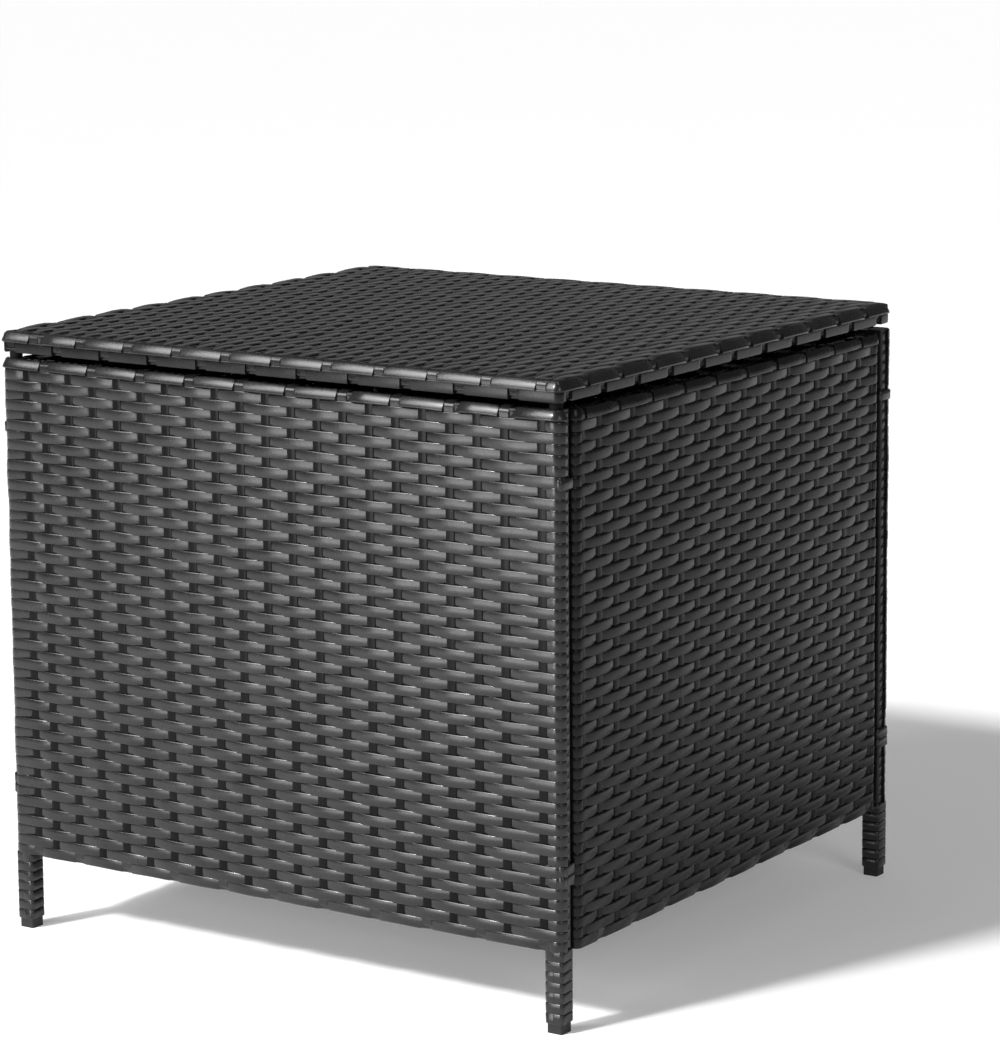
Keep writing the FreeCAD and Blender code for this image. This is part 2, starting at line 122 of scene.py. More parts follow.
class WindingSettings(bpy.types.PropertyGroup):
    """Sizes of the strand wound round the tubes and of the rows on the lid's edge."""
    turn_width: length("Turn width", "Width of one turn of strand", 7.8)
    turn_pitch: length("Turn pitch", "Distance between neighbouring turns", 7.9)
    turn_height: length("Turn height", "How far a turn stands off its tube", 1.4)
    covered_height: length("Covered turn height", "The same, where a weave covers the turns", 0.25)
    bulge_height: length("Bulge height", "The same, where a turn is pushed out at a bolt", 2.2)
    bulge_shift: length("Bulge shift", "How far such a turn moves toward the panel", 1.2)
    loop_height: length("Loop height", "How far a loop on a panel's rail stands off", 1.2)
    loop_width: length("Loop width", "Width of a loop between two floats", 8.8)
    loop_corner: length("Loop corner", "Rounding of a loop at the corners of the tube", 5.0)
    row_corner: length("Lid row corner", "Rounding of the lid's edge rows at its corners", 4.0)
    row_width: length("Lid row width", "Width of the strands on the lid's edge", 9.0)
    edge_round: length("Edge rounding", "Width of the rounded edge of a turn", 0.6)
    edge_sink: length("Edge sink", "How far the edge of a turn drops", 0.45)
    corner: length("Corner", "Rounding of a turn at the corners of the tube", 2.8)
    edge_period: length("Lid row period", "Length of one float and gap on the lid's edge", 46.4)


class FinishSettings(bpy.types.PropertyGroup):
    """Colours of the finishes."""
    strand_dark: colour("Strand, dark", "Darker tone of the woven strand", (0.0065, 0.0065, 0.0067))
    strand_light: colour("Strand, light", "Lighter tone of the woven strand", (0.0145, 0.0145, 0.015))
    coat: colour("Frame coat", "Powder coat of the steel frame", (0.012, 0.012, 0.0125))
    zinc: colour("Zinc", "Plated steel of the hinges", (0.50, 0.50, 0.49))
    black_steel: colour("Bolts", "Blackened steel of the bolts", (0.06, 0.06, 0.062))
    plastic: colour("Feet", "Moulded plastic of the feet and plugs", (0.014, 0.014, 0.0145))
    rubber: colour("Bumpers", "Rubber of the lid's bumpers", (0.005, 0.005, 0.005))


class StageSettings(bpy.types.PropertyGroup):
    """Camera, lamps and floor."""
    focal: scalar("Focal length", "In pixels of the image's long side", 3770.45)
    camera_place: location("Camera", "Place of the camera", (1.6551, -2.4395, 0.8669))
    azimuth: angle("Azimuth", "Camera's direction round the table", 33.5142)
    elevation: angle("Elevation", "Camera's tilt", 9.1194)
    roll: angle("Roll", "Camera's roll", -0.424)
    shift: scalar("Lens shift", "Upright shift of the lens", -0.1)
    key_azimuth: angle("Key azimuth", "Direction of the key light round the table", -22.0)
    key_elevation: angle("Key elevation", "Height of the key light above the horizon", 40.0)
    key_strength: scalar("Key strength", "Strength of the key light", 3.2)
    key_spread: angle("Key spread", "Apparent size of the key light", 6.0)
    fill_azimuth: angle("Fill azimuth", "Direction of the fill light round the table", 60.0)
    fill_elevation: angle("Fill elevation", "Height of the fill light above the horizon", 24.0)
    fill_strength: scalar("Fill strength", "Strength of the fill light", 0.55)
    fill_spread: angle("Fill spread", "Apparent size of the fill light", 25.0)
    soft_power: scalar("Soft light", "Power of the wide soft light", 15.0)
    soft_place: location("Soft place", "Middle of the wide soft light", (-0.3, -1.65, 0.385))
    soft_size: extent("Soft size", "Width and height of the wide soft light", (0.85, 0.73))
    high_power: scalar("High light", "Power of the high soft light", 56.0)
    high_place: location("High place", "Middle of the high soft light", (-1.42, -2.2, 2.22))
    high_size: extent("High size", "Width and height of the high soft light", (1.27, 1.05))
    back_power: scalar("Back light", "Power of the weak wide light behind", 4.5)
    back_place: location("Back place", "Middle of the back light", (-2.2, 3.34, 1.3))
    back_size: extent("Back size", "Width and height of the back light", (4.4, 2.6))
    ambient: scalar("Ambient", "Light from all round", 0.15)
    floor_colour: colour("Floor", "Pale floor", (0.90, 0.90, 0.90))
    floor_glow: scalar("Floor lift", "White added to the floor as it is seen", 0.2)
    floor_size: length("Floor size", "Side of the floor", 40000.0)


# Modelling helpers

SMOOTH_ANGLE = math.radians(60)
# Loops keep flat faces with clear side edges
LOOP_ANGLE = math.radians(35)


def pick(*objects):
    bpy.ops.object.select_all(action="DESELECT")
    for item in objects:
        item.select_set(True)
    bpy.context.view_layer.objects.active = objects[0]


def add_mesh(name, kind, **options):
    """A new primitive, selected by itself."""
    bpy.ops.object.select_all(action="DESELECT")
    getattr(bpy.ops.mesh, "primitive_" + kind + "_add")(**options)
    piece = bpy.context.object
    piece.name = name
    return piece


def edit(piece):
    pick(piece)
    bpy.ops.object.mode_set(mode="EDIT")
    bpy.ops.mesh.select_mode(type="VERT")
    select_all()


def leave_edit():
    bpy.ops.object.mode_set(mode="OBJECT")


def select_all():
    bpy.ops.mesh.select_all(action="SELECT")


def resize(*factors):
    bpy.ops.transform.resize(value=factors, center_override=(0, 0, 0))


def choose(piece, test, kind="verts"):
    """In edit mode, select only the vertices, edges or faces that pass the test."""
    bpy.ops.mesh.select_mode(type={"verts": "VERT", "edges": "EDGE", "faces": "FACE"}[kind])
    bpy.ops.mesh.select_all(action="DESELECT")
    shape = bmesh.from_edit_mesh(piece.data)
    for item in getattr(shape, kind):
        item.select_set(bool(test(item)))
    shape.select_flush_mode()
    bmesh.update_edit_mesh(piece.data)


def apply_modifier(piece, kind, **values):
    pick(piece)
    modifier = piece.modifiers.new(kind.title(), kind)
    for key, value in values.items():
        setattr(modifier, key, value)
    bpy.ops.object.modifier_apply(modifier=modifier.name)


def copy_of(piece):
    twin = piece.copy()
    twin.data = piece.data.copy()
    bpy.context.scene.collection.objects.link(twin)
    return twin


def drop(*pieces):
    for piece in pieces:
        bpy.data.objects.remove(piece, do_unlink=True)


def settle(piece, matrix=None):
    """Put the piece's place into its mesh, so that its object sits at the origin."""
    if matrix is not None:
        piece.matrix_world = matrix
    pick(piece)
    bpy.ops.object.transform_apply(location=True, rotation=True, scale=True)


def join(name, pieces):
    for piece in pieces:
        settle(piece)
    pick(*pieces)
    bpy.ops.object.join()
    joined = bpy.context.view_layer.objects.active
    joined.name = name
    joined.data.name = name
    return joined


def axes_matrix(first, second, third, origin):
    """From a piece's own axes to the table's."""
    matrix = Matrix.Identity(4)
    for column, axis in enumerate((first, second, third)):
        for row in range(3):
            matrix[row][column] = axis[row]
    matrix.translation = origin
    return matrix


def middle_of(node):
    low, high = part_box(node)
    return (low + high) / 2


def wound_low(node):
    """Lowest corner of a tube with its strand winding."""
    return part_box(node)[0] - STRAND * (X + Y + Z)


def finish_piece(piece, body, finish, replaced=(), sharp=SMOOTH_ANGLE):
    """Turn all faces outwards, smooth them, give the piece its finish and body, and hide the parts it
    replaces.
    """
    edit(piece)
    bpy.ops.mesh.normals_make_consistent(inside=False)
    leave_edit()
    bpy.ops.object.shade_smooth_by_angle(angle=sharp)
    piece.data.materials.clear()
    piece.data.materials.append(strand_finish(finish))
    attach(piece, body)
    if replaced:
        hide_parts(*replaced)


# Strands and the paths they are bent along

SECTION_SIDES = 12
# Two bands of the section, as shares of the width, and how far they move out in thickness and in width.
# They give a flat face with narrow round edges.
SECTION_BANDS = (((0.2, 0.3), (1.06, 1.44)), ((0.4, 0.45), (1.1, 1.06)))
# Handle length of a quarter circle, as a share of its radius
QUARTER_PULL = 0.5523
CURVE_STEPS = 16
BEND_STEPS = 4
LEAST_STEP = 0.5 * MM
LEAST_SPAN = 1e-9
WANDER_SIZE = 0.03


def strand_along(name, stations, width, thickness):
    """Flat strand along X; each station is a place and how far out (toward -Y) the strand lies there."""
    piece = add_mesh(name, "circle", vertices=SECTION_SIDES, radius=0.5, fill_type="NGON",
                     rotation=(0, math.pi / 2, 0))
    settle(piece)
    edit(piece)
    resize(1, thickness, width)
    for (inner, outer), (thicker, wider) in SECTION_BANDS:
        choose(piece, lambda vert: inner * width < abs(vert.co.z) < outer * width)
        resize(1, thicker, wider)
    select_all()
    bpy.ops.transform.translate(value=(stations[0][0], -stations[0][1], 0))
    for (place, lift), (next_place, next_lift) in zip(stations, stations[1:]):
        bpy.ops.mesh.extrude_region_move(
            TRANSFORM_OT_translate={"value": (next_place - place, lift - next_lift, 0)})
    leave_edit()
    return piece


def wander(piece, amount, name):
    """Let strands leave the perfect pattern a little, by soft noise."""
    clouds = bpy.data.textures.new(name, "CLOUDS")
    clouds.cloud_type = "COLOR"
    clouds.noise_scale = WANDER_SIZE
    clouds.noise_depth = 1
    apply_modifier(piece, "DISPLACE", texture=clouds, direction="RGB_TO_XYZ", texture_coords="GLOBAL",
                   strength=amount, mid_level=0.5)


def gap_at(middle, way, stations):
    """Stations of a row about a gap or dip in it; `way` is -1 where the row runs the other way."""
    return [(middle + way * along * MM, lift * MM) for along, lift in stations][::way]


def lift_at(profile, place):
    """Outward lift of a profile at a place, straight between its stations."""
    for (start, low), (end, high) in zip(profile, profile[1:]):
        if start <= place <= end:
            return low + (high - low) * (place - start) / max(end - start, LEAST_SPAN)
    return profile[-1][1]


class Track:
    """Path with rounded corners in the XY plane, that strands are bent along."""

    def __init__(self, name, corners, radius, closed=False):
        self.bends = []
        self.straights = []
        self.arc = radius * math.pi / 2
        corners = [Vector((*corner, 0)) for corner in corners]
        count = len(corners)
        ways = [(corners[(number + 1) % count] - corners[number]).normalized() for number in range(count)]
        # A closed path starts at its last point
        last = corners[-1] + ways[-1] * radius if closed else corners[0]
        points = [] if closed else [(last, ways[0])]
        run = 0.0
        for number in range(count) if closed else range(1, count - 1):
            into, out = ways[number - 1], ways[number]
            first, second = corners[number] - into * radius, corners[number] + out * radius
            self.straights.append((run, last, first))
            run += (first - last).length
            self.bends.append(run)
            run += self.arc
            last = second
            points += [(first, into), (second, out)]
        if not closed:
            points.append((corners[-1], ways[-2]))
        self.piece = self.curve(name, points, QUARTER_PULL * radius, closed)
        self.length = self.piece.data.splines[0].calc_length()

    def curve(self, name, points, pull, closed):
        data = bpy.data.curves.new(name, "CURVE")
        data.dimensions = "3D"
        data.twist_mode = "Z_UP"
        data.resolution_u = CURVE_STEPS
        spline = data.splines.new("BEZIER")
        spline.bezier_points.add(len(points) - 1)
        for number, (point, (place, way)) in enumerate(zip(spline.bezier_points, points)):
            point.handle_left_type = point.handle_right_type = "FREE"
            point.co = place
            # Bends and straight parts take turns; a third of a straight part keeps the places along it even
            before = (place - points[number - 1][0]).length / 3
            after = (points[(number + 1) % len(points)][0] - place).length / 3
            bend_follows = (number % 2 == 0) == closed
            point.handle_left = place - way * (before if bend_follows else pull)
            point.handle_right = place + way * (pull if bend_follows else after)
        spline.use_cyclic_u = closed
        piece = bpy.data.objects.new(name, data)
        bpy.context.scene.collection.objects.link(piece)
        return piece

    def stations(self, profile):
        """The profile on the track, with more stations in the bends, so that the strand follows them."""
        places = [place for place, lift in profile]
        for bend in self.bends:
            places += [bend + part * self.arc / BEND_STEPS for part in range(BEND_STEPS + 1)]
        result = []
        for place in sorted(places):
            near = result and place - result[-1][0] < LEAST_STEP
            if profile[0][0] <= place <= profile[-1][0] and not near:
                result.append((place, lift_at(profile, place)))
        return [(place, lift) for place, lift in result if 0 < place < self.length]

    def place(self, run):
        """The point at this distance along the track, and the axis it runs along; nothing in a bend."""
        for start, first, last in self.straights:
            way = last - first
            if start <= run <= start + way.length:
                return first + way.normalized() * (run - start), "x" if abs(way.x) > abs(way.y) else "y"
        return None

    def bend(self, piece):
        apply_modifier(piece, "CURVE", object=self.piece, deform_axis="POS_X")


# Woven fields

# Along a row and out of it, in millimetres, about the middle of a gap or dip
SLOPED_GAP = ((-24.0, 1.2), (-14.0, 0.95), (-4.4, 0.3), (-3.8, -2.6), (5.0, -2.6), (5.5, 0.45),
              (12.0, 1.05))
LEVEL_GAP = ((-5.0, 0.75), (-4.4, 0.7), (-3.8, -2.6), (5.0, -2.6), (5.5, 0.7), (6.1, 0.75))
TUBE_DIP = ((-6.0, 0.8), (-3.2, -0.5), (0.0, -0.6), (3.2, -0.5), (6.0, 0.8))
# Share of the way from a warp that a weft passes over to the next one, and share of its height there
PANEL_FALL = ((0, 1), (0.25, 0.94), (0.5, 0.75), (0.75, 0.44))
FLAT_FALL = ((0, 1), (0.6, 0.97), (0.74, 0.5), (0.86, 0))
# How far a panel's weft stands off a leg
END_LIFT = 1.3 * MM
# Rows at each edge that lie on a tube, and the lift of their floats
TUBE_ROWS = 2
TUBE_FLOAT = 1.15 * MM
# How far a tilted top row stands out
TILT_OUT = 0.7 * MM
# How far rows stray out and across, in millimetres
STRAY_OUT = 0.1
STRAY_ACROSS = 0.2
# Warps wander less than wefts
WARP_WANDER = 0.6


class Field:
    """Woven field: wefts run along it, rows follow each other across it, and both bend round its edges."""

    def __init__(self, name, axes, origin, along, across, warps, tails, flat=False):
        sizes = bpy.context.scene.table_weave
        self.name = name
        self.along_axis, self.across_axis, self.out_axis = axes
        self.axis = "x" if abs(self.along_axis.x) > 0.5 else "y"
        self.gap_way = 1 if self.axis == "x" else -1
        self.origin, self.along, self.across = origin, along, across
        self.warps, self.tails = warps, tails
        if flat:
            self.over, self.under, self.fall = sizes.flat_wave, -sizes.flat_dip, FLAT_FALL
            self.width, self.thickness = sizes.flat_width, sizes.flat_thickness
            self.bend, self.end_lift = sizes.bend, 0.0
        else:
            self.over, self.under, self.fall = sizes.wave, -sizes.dip, PANEL_FALL
            self.width, self.thickness = sizes.weft_width, sizes.weft_thickness
            self.bend, self.end_lift = sizes.corner_bend, END_LIFT
        self.rise = [(0, 0)] + [(1 - part, share) for part, share in reversed(self.fall[1:])]
        low, high = across[0] - STRAND, across[1] + STRAND
        self.rows = round((high - low) / sizes.row_pitch)
        self.step = (high - low) / self.rows
        self.first_row = low + self.step / 2

    def row_place(self, row):
        return self.first_row + row * self.step

    def weft_over(self, index, row):
        return (index + row) % 2 == 0

    def on_top(self, row):
        return row == self.rows - 1

    def on_tube(self, row):
        return row < TUBE_ROWS or row >= self.rows - TUBE_ROWS

    def track(self, span, tail, bend):
        """From edge to edge with a tail back along the tubes at both ends, and the field's shift on it."""
        low, high = span
        track = Track(self.name + "_track", ((low, tail), (low, 0), (high, 0), (high, tail)), bend)
        return track, track.bends[0] + bend * math.pi / 2 - (low + bend)

    def tube_profile(self, row):
        """On a tube, wefts lie flat between dips, and the top row passes under loops."""
        profile = []
        for index, place in self.warps:
            if self.on_top(row):
                if not self.weft_over(index, row):
                    profile += gap_at(place, self.gap_way, SLOPED_GAP)
            elif self.weft_over(index, row):
                profile.append((place, TUBE_FLOAT))
            else:
                profile += gap_at(place, 1, TUBE_DIP)
        return profile

    def open_profile(self, row):
        """Between the tubes, wefts rise over one warp and dip under the next."""
        height = self.over - self.under
        profile = []
        for (index, start), (_, end) in zip(self.warps, self.warps[1:]):
            for part, share in self.fall if self.weft_over(index, row) else self.rise:
                profile.append((start + part * (end - start), self.under + height * share))
        index, place = self.warps[-1]
        profile.append((place, self.over if self.weft_over(index, row) else self.under))
        return profile

    def weft_profile(self, row, shift):
        """Stations of one weft along its track."""
        low, high = self.along[0] + self.bend, self.along[1] - self.bend
        profile = self.tube_profile(row) if self.on_tube(row) else self.open_profile(row)
        inner = [(place, lift) for place, lift in profile if low < place < high]
        beyond = self.tails[0] + self.bend
        ends = self.end_lift
        profile = [(low - beyond, ends), (low, ends)] + inner + [(high, ends), (high + beyond, ends)]
        return [(place + shift, lift) for place, lift in profile]

    def warp_profile(self, index, shift):
        """Stations of one warp along its track."""
        sizes = bpy.context.scene.table_weave
        beyond = self.tails[1] + sizes.bend
        profile = [(self.across[0] + sizes.bend - beyond + shift, sizes.warp_level)]
        for row in range(self.rows):
            lift = -sizes.warp_wave if self.weft_over(index, row) else sizes.warp_wave
            profile.append((self.row_place(row) + shift, sizes.warp_level + lift))
        profile.append((self.across[1] - sizes.bend + beyond + shift, sizes.warp_level))
        return profile

    def bent(self, label, track, strands, kinds, matrix, amount):
        """The strands as one piece in its place, bent along the track and uneven."""
        piece = join(self.name + "_" + label + "s", strands)
        track.bend(piece)
        drop(track.piece, *kinds)
        settle(piece, matrix)
        wander(piece, amount, self.name + "_" + label + "_noise")
        return piece

    def wefts(self, top_tilt=0.0):
        sizes = bpy.context.scene.table_weave
        chance = random.Random(sizes.seed + len(self.name))
        track, shift = self.track(self.along, self.tails[0], self.bend)
        kinds = {}
        strands = []
        for row in range(self.rows):
            kind = (row % 2, self.on_tube(row), self.on_top(row))
            if kind not in kinds:
                stations = track.stations(self.weft_profile(row, shift))
                kinds[kind] = strand_along(self.name + "_weft", stations, self.width, self.thickness)
            strand = copy_of(kinds[kind])
            strand.location = (0, chance.uniform(-STRAY_OUT, STRAY_OUT) * MM,
                               self.row_place(row) + chance.uniform(-STRAY_ACROSS, STRAY_ACROSS) * MM)
            if top_tilt and self.on_top(row):
                strand.rotation_euler.x = -top_tilt
                strand.location.y -= TILT_OUT
            strands.append(strand)
        matrix = axes_matrix(self.along_axis, -self.out_axis, self.across_axis, self.origin)
        return self.bent("weft", track, strands, kinds.values(), matrix, sizes.unevenness)

    def warp_strands(self):
        sizes = bpy.context.scene.table_weave
        track, shift = self.track(self.across, self.tails[1], sizes.bend)
        profiles = [track.stations(self.warp_profile(kind, shift)) for kind in (0, 1)]
        kinds = [strand_along(self.name + "_warp", profile, sizes.warp_width, sizes.warp_thickness)
                 for profile in profiles]
        strands = []
        for index, place in self.warps:
            strand = copy_of(kinds[index % 2])
            strand.location.z = -place
            strands.append(strand)
        matrix = axes_matrix(self.across_axis, -self.out_axis, -self.along_axis, self.origin)
        return self.bent("warp", track, strands, kinds, matrix, WARP_WANDER * sizes.unevenness)

    def loops(self, rail, row):
        """Loops round a rail where one of its rows passes under the warps."""
        sizes = bpy.context.scene.table_winding
        blank = loop_blank("loop", rail, sizes.loop_height)
        turns = []
        for index, place in self.warps:
            if not self.weft_over(index, row):
                middle = middle_of(rail)
                setattr(middle, self.axis, place * getattr(self.along_axis, self.axis))
                turns.append(turn_at(blank, self.axis, middle))
        drop(blank)
        return turns


# Ends of the even warps on the front and rear panels, and the odd warps nearest the legs
FACE_WARPS = (-214 * MM, 208 * MM)
LEG_WARPS = (-232 * MM, 239.4 * MM)
SIDE_WARP_INSET = 8 * MM
TRAY_WARP_INSET = 10 * MM
# How far strands reach back along the tubes of a panel, and how far they stop short of a leg's rear face
TAIL = 9 * MM
LEG_SHORT = 1 * MM
# The same reach on the lid and the floor, and how far their weave stays inside the tubes' outer faces
TRAY_TAILS = {"lid": 3.5 * MM, "floor": 6 * MM}
TRAY_INSETS = {"lid": 2 * MM, "floor": 0}


def even_warps(low, high):
    """Warps at an even pitch from the first place to the last."""
    count = round((high - low) / bpy.context.scene.table_weave.warp_pitch)
    return [(index, low + index * (high - low) / count) for index in range(count + 1)]


def upright_fields():
    """The four panels' fields."""
    fields = {}
    leg_low, leg_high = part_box("front_right_leg")
    half = leg_high.x
    tails = (half - leg_low.x - LEG_SHORT, TAIL)
    front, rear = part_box("front_top_rail"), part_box("rear_top_rail")
    across = (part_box("front_bottom_rail")[0].z, front[1].z)
    warps = even_warps(*FACE_WARPS)
    warps = [(-1, LEG_WARPS[0])] + warps + [(warps[-1][0] + 1, LEG_WARPS[1])]
    for end, axes, face in (("front", (X, Z, -Y), front[0].y), ("rear", (-X, Z, Y), rear[1].y)):
        fields[end] = Field(end, axes, Vector((0, face, 0)), (-half, half), across, warps, tails)
    for side, way in (("right", 1), ("left", -1)):
        first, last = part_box(side + "_front_stile"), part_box(side + "_rear_stile")
        top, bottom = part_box(side + "_top_rail"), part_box(side + "_bottom_rail")
        along = tuple(sorted((way * first[0].y, way * last[1].y)))
        warps = even_warps(along[0] + SIDE_WARP_INSET, along[1] - SIDE_WARP_INSET)
        face = top[1].x if way > 0 else top[0].x
        fields[side] = Field(side, (way * Y, Z, way * X), Vector((face, 0, 0)), along,
                             (bottom[0].z, top[1].z), warps, (TAIL, TAIL))
    return fields


def level_field(tray):
    """A lid or floor field: wefts run front to back and rows lie side by side across the width."""
    sides = ("left", "right", "front", "rear")
    left, right, front, rear = (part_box(tray + "_" + side + "_rail") for side in sides)
    tail, inset = TRAY_TAILS[tray], TRAY_INSETS[tray]
    along = (front[0].y + inset, rear[1].y - inset)
    across = (-right[1].x + inset, -left[0].x - inset)
    warps = even_warps(along[0] + TRAY_WARP_INSET, along[1] - TRAY_WARP_INSET)
    return Field(tray, (Y, -X, Z), Vector((0, 0, front[1].z)), along, across, warps, (tail, tail), True)


def weave_tray(tray, body):
    field = level_field(tray)
    finish_piece(field.wefts(), body, "strand_along_y", replaced=(tray + "_weave",))
    # Painted shade: warps are painted darker, for their place deep between the floats
    finish_piece(field.warp_strands(), body, "warp_along_x")


# Windings

TURN_WAYS = {"x": (0, math.pi / 2, 0), "y": (math.pi / 2, 0, 0), "z": (0, 0, 0)}
CORNER_STEPS = 3
TOUCH = 0.01 * MM
# How far turns lean by chance, in degrees
TURN_STRAY = 0.6


def turn_blank(name, tube, height, width, corner):
    """One turn of strand round a square tube that stands along Z."""
    sizes = bpy.context.scene.table_winding
    half = width / 2
    size = tube + 2 * height
    piece = add_mesh(name, "cube", size=1)
    edit(piece)
    resize(size, size, width)
    choose(piece, lambda face: abs(face.normal.z) > 0.9, "faces")
    bpy.ops.mesh.delete(type="FACE")
    choose(piece, lambda edge: abs(edge.verts[0].co.z - edge.verts[1].co.z) > half, "edges")
    bpy.ops.mesh.bevel(offset=corner, segments=CORNER_STEPS, affect="EDGES")
    for place in (half - sizes.edge_round, sizes.edge_round - half):
        select_all()
        bpy.ops.mesh.bisect(plane_co=(0, 0, place), plane_no=(0, 0, 1))
    choose(piece, lambda vert: abs(vert.co.z) > half - TOUCH)
    inward = 1 - 2 * sizes.edge_sink / size
    resize(inward, inward, 1)
    choose(piece, lambda edge: edge.is_boundary, "edges")
    bpy.ops.mesh.bridge_edge_loops()
    leave_edit()
    return piece


def loop_blank(name, rail, height):
    """One loop round a level rail."""
    sizes = bpy.context.scene.table_winding
    low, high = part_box(rail)
    return turn_blank(name, high.z - low.z, height, sizes.loop_width, sizes.loop_corner)


def turn_at(blank, axis, place):
    turn = copy_of(blank)
    turn.location = place
    turn.rotation_euler = TURN_WAYS[axis]
    return turn


def winding(node, axis, blank, chance, span, lean=0.0):
    """Turns side by side along one tube."""
    low, high = span
    count = max(1, round((high - low) / bpy.context.scene.table_winding.turn_pitch))
    step = (high - low) / count
    turns = []
    for index in range(count):
        place = middle_of(node)
        setattr(place, axis, low + (index + 0.5) * step)
        turn = turn_at(blank, axis, place)
        stray = chance.uniform(-TURN_STRAY, TURN_STRAY) * math.radians(1)
        turn.rotation_euler.rotate_axis("X", lean + stray)
        turns.append(turn)
    return turns


# Materials

# Scale, detail and roughness of the noises on strands, on other surfaces and on the floor
LINE_NOISE = (900.0, 2.0, 0.5)
TONE_NOISE = (38.0, 2.0, 0.5)
SPECK_NOISE = (420.0, 3.0, 0.6)
SMUDGE_NOISE = (60.0, 3.0, 0.5)
GRAIN_DETAIL = (3.0, 0.6)
FLOOR_NOISE = (3.0, 2.0, 0.5)
# Where most of a noise's values lie
NOISE_LOW, NOISE_HIGH = 0.3, 0.7
BUMP_DEPTH = 0.1 * MM
STRAND_ROUGHNESS = (0.2, 0.29)
STRAND_BUMP = 0.2
STRAND_SPECULAR = 0.36
# Pattern scale along the way that a strand is drawn out
DRAWN_OUT = 0.02
# Painted shade: strands that lie deep or face away from the lamps get a darker colour and a weaker gloss, by
# these shares, than those on the front
PAINTED_SHADE_SHARES = {"warp": 0.25, "covered": 0.5, "side": 0.5, "low": 0.6, "sunk": 0.35}
# Colour setting, dark share, roughness from and to, metallic, grain scale and strength, specular level
GRAINED = {
    "powder_coat": ("coat", 0.7, (0.42, 0.58), 0.0, 2200.0, 0.25, 0.3),
    "plated_steel": ("zinc", 0.8, (0.25, 0.42), 1.0, 1500.0, 0.12, 0.3),
    "blackened_steel": ("black_steel", 0.7, (0.32, 0.5), 1.0, 1800.0, 0.15, 0.3),
    "moulded_plastic": ("plastic", 0.75, (0.45, 0.6), 0.0, 2600.0, 0.35, 0.3),
    "soft_rubber": ("rubber", 0.8, (0.65, 0.8), 0.0, 2000.0, 0.4, 0.08),
}
# Endings of the nodes that have another finish than the frame's coat
FINISHED_NODES = {
    "moulded_plastic": ("feet", "_plugs"),
    "soft_rubber": ("_bumpers",),
    "blackened_steel": ("_bolts", "_spacers"),
    "plated_steel": ("_screws", "_leaf", "_pin"),
}


def new_group(name, inputs, outputs):
    """Node group with the named sockets, each given with its kind."""
    group = bpy.data.node_groups.new(name, "ShaderNodeTree")
    for way, sockets in (("INPUT", inputs), ("OUTPUT", outputs)):
        for label, kind in sockets.items():
            group.interface.new_socket(label, in_out=way, socket_type="NodeSocket" + kind)
    return group, group.nodes.new("NodeGroupInput"), group.nodes.new("NodeGroupOutput")


def set_inputs(tree, node, inputs):
    """Link each socket to the node's input of that name, and set each value there."""
    for label, value in inputs.items():
        if isinstance(value, bpy.types.NodeSocket):
            tree.links.new(value, node.inputs[label])
        else:
            node.inputs[label].default_value = value
    return node.outputs


def add_node(tree, kind, inputs):
    return set_inputs(tree, tree.nodes.new("ShaderNode" + kind), inputs)


def group_node(tree, name, make, inputs):
    node = tree.nodes.new("ShaderNodeGroup")
    node.node_tree = bpy.data.node_groups.get(name) or make(name)
    return set_inputs(tree, node, inputs)


def noise(tree, place, scale, detail, rough):
    inputs = {"Vector": place, "Scale": scale, "Detail": detail, "Roughness": rough}
    return add_node(tree, "TexNoise", inputs)["Fac"]


def spread_out(tree, value, low, high):
    """A noise's usual values, spread from low to high."""
    inputs = {"Value": value, "From Min": NOISE_LOW, "From Max": NOISE_HIGH, "To Min": low, "To Max": high}
    return add_node(tree, "MapRange", inputs)["Result"]


def mix_colours(tree, factor, dark, light):
    mix = tree.nodes.new("ShaderNodeMix")
    mix.data_type = "RGBA"
    return set_inputs(tree, mix, {"Factor": factor, "A": (*dark, 1), "B": (*light, 1)})["Result"]


def bump(tree, height, strength):
    inputs = {"Strength": strength, "Distance": BUMP_DEPTH, "Height": height}
    return add_node(tree, "Bump", inputs)["Normal"]


def darker(share, tone):
    return tuple(share * value for value in tone)


def strand_group(name):
    """Drawn lines along an extruded strand and slow changes of tone from strand to strand."""
    group, source, result = new_group(name, {"Place": "Vector", "Drawn Place": "Vector"},
                                      {"Tone": "Float", "Lines": "Float", "Gloss": "Float"})
    place = source.outputs["Place"]
    tone = noise(group, place, *TONE_NOISE)
    set_inputs(group, result, {"Tone": spread_out(group, tone, 0.0, 1.0),
                               "Lines": noise(group, source.outputs["Drawn Place"], *LINE_NOISE),
                               "Gloss": noise(group, place, *SPECK_NOISE)})
    return group


def grain_group(name):
    """Fine grain of coated, moulded and plated surfaces, with soft smudges."""
    group, source, result = new_group(name, {"Place": "Vector", "Grain Scale": "Float"},
                                      {"Grain": "Float", "Smudge": "Float"})
    place = source.outputs["Place"]
    grain = noise(group, place, source.outputs["Grain Scale"], *GRAIN_DETAIL)
    set_inputs(group, result, {"Grain": grain, "Smudge": noise(group, place, *SMUDGE_NOISE)})
    return group


def base_material(name):
    material = bpy.data.materials.new(name)
    material.use_nodes = True
    tree = material.node_tree
    return material, tree, tree.nodes["Principled BSDF"], add_node(tree, "TexCoord", {})["Object"]


